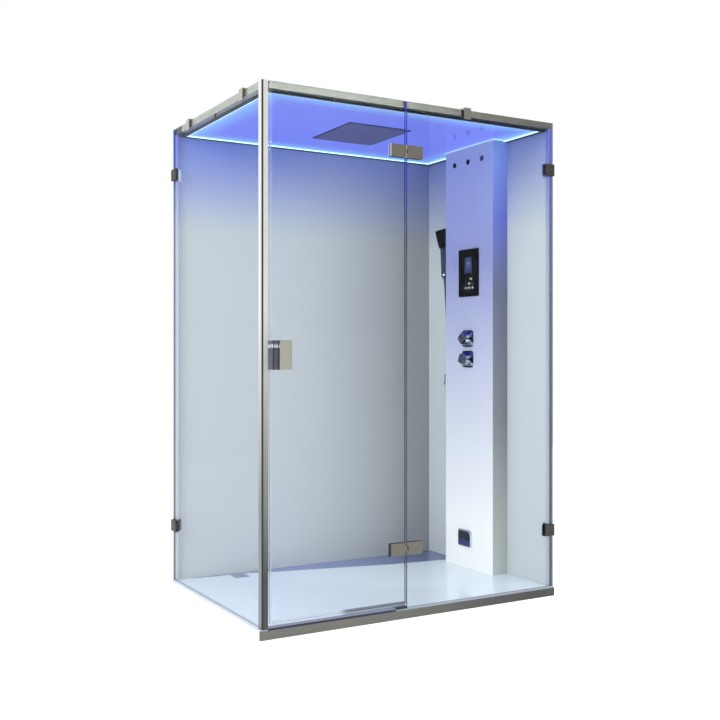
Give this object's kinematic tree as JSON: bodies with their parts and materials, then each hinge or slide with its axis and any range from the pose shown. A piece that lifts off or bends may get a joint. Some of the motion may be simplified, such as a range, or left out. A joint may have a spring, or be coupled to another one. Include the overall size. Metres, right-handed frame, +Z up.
{
  "type": "steam shower cabin",
  "caption": "Rectangular glass steam shower cabin: low tray, hinged glass door, lit ceiling with rain head, and a service column with controls, taps, steam outlet and hand shower.",
  "frame": {"origin": "on the floor, on the axis of the waste outlet at the tray's centre", "axes": "+Z up, front (door side) faces -Y, +X to the right for someone in front"},
  "size_m": [1.514, 1.077, 2.21],
  "materials": {
    "tray_acrylic": "gloss",
    "plinth_steel": "brushed",
    "waste_plastic": "matt",
    "post_metal": "satin",
    "header_metal": "satin",
    "dark_metal": "satin",
    "black_rubber": "matt",
    "clear_seal": "clear",
    "clear_glass": "clear",
    "wall_paint": "satin",
    "channel_metal": "satin",
    "clamp_metal": "satin",
    "hinge_metal": "brushed",
    "chrome": "polished",
    "handle_chrome": "polished",
    "ceiling_gloss": "gloss",
    "trim_metal": "satin",
    "led_light": "lit",
    "roof_metal": "satin",
    "rain_steel": "polished",
    "pipe_brass": "satin",
    "column_paint": "satin",
    "black_glass": "gloss",
    "screen": "gloss",
    "key_light": "lit",
    "steel": "satin",
    "mirror": "mirror",
    "hose_steel": "woven",
    "handset_black": "gloss",
    "handset_face": "satin",
    "inner_metal": "raw"
  },
  "bodies": {
    "cabin": {"tray": "tray_acrylic", "plinth_strip": "plinth_steel", "drain_body": "waste_plastic", "corner_post": "post_metal", "corner_gasket": "black_rubber", "strike_seal": "clear_seal", "header_front": "header_metal", "header_left": "header_metal", "header_end_bracket": "dark_metal", "header_clips": "header_metal", "header_bumpers": "black_rubber", "left_glass": "clear_glass", "fixed_glass": "clear_glass", "back_panel": "wall_paint", "right_panel": "wall_paint", "rear_channel": "dark_metal", "right_channel": "channel_metal", "glass_sills": "post_metal", "threshold": "black_rubber", "clamps_outer": "clamp_metal", "clamps_inner": "clamp_metal", "clamp_screws": "steel", "ceiling_panel": "ceiling_gloss", "ceiling_trim": "trim_metal", "led_strips": "led_light", "roof_cover": "roof_metal", "rain_head_plate": "rain_steel", "rain_head_body": "steel", "supply_pipes": "pipe_brass", "column_shell": "column_paint", "column_rails": "inner_metal", "spray_nozzles": "chrome", "control_glass": "black_glass", "control_screen": "screen", "control_keys": "key_light", "control_box": "waste_plastic", "mixer_body": "pipe_brass", "valve_bodies": "chrome", "steam_generator": "steel", "steam_pipe": "pipe_brass", "steam_outlet": "chrome", "steam_outlet_plate": "mirror", "handset_holder": "chrome", "outlet_elbow": "chrome", "shower_hose": "hose_steel", "hinge_fixed": "hinge_metal"},
    "door": {"door_glass": "clear_glass", "door_edge_seals": "clear_seal", "door_drip_seal": "clear_seal", "handle_outer": "handle_chrome", "handle_inner": "handle_chrome", "hinge_moving": "hinge_metal", "hinge_pins": "steel"},
    "knob_upper": {"knob_upper": "chrome"},
    "knob_lower": {"knob_lower": "chrome"},
    "drain_cover": {"drain_cover": "tray_acrylic"},
    "handset": {"handset": "handset_black", "handset_face": "handset_face", "hose_nut_upper": "chrome"}
  },
  "joints": [
    {"name": "door_swing", "type": "hinge", "parent": "cabin", "child": "door", "pos_m": [-0.066, -0.514, 1.1], "axis": [0, 0, 1], "range_deg": [0, 100]},
    {"name": "knob_upper_turn", "type": "hinge", "parent": "cabin", "child": "knob_upper", "pos_m": [0.614, 0.014, 1.204], "axis": [1, 0, 0], "range_deg": [-135, 135]},
    {"name": "knob_lower_turn", "type": "hinge", "parent": "cabin", "child": "knob_lower", "pos_m": [0.614, 0.014, 1.1], "axis": [1, 0, 0], "range_deg": [-90, 90]},
    {"name": "drain_cover_lift", "type": "slide", "parent": "cabin", "child": "drain_cover", "axis": [0, 0, 1], "range_m": [0, 0.1]},
    {"name": "handset_lift", "type": "slide", "parent": "cabin", "child": "handset", "axis": [0, 0.0698, 0.9976], "range_m": [0, 0.06]}
  ]
}
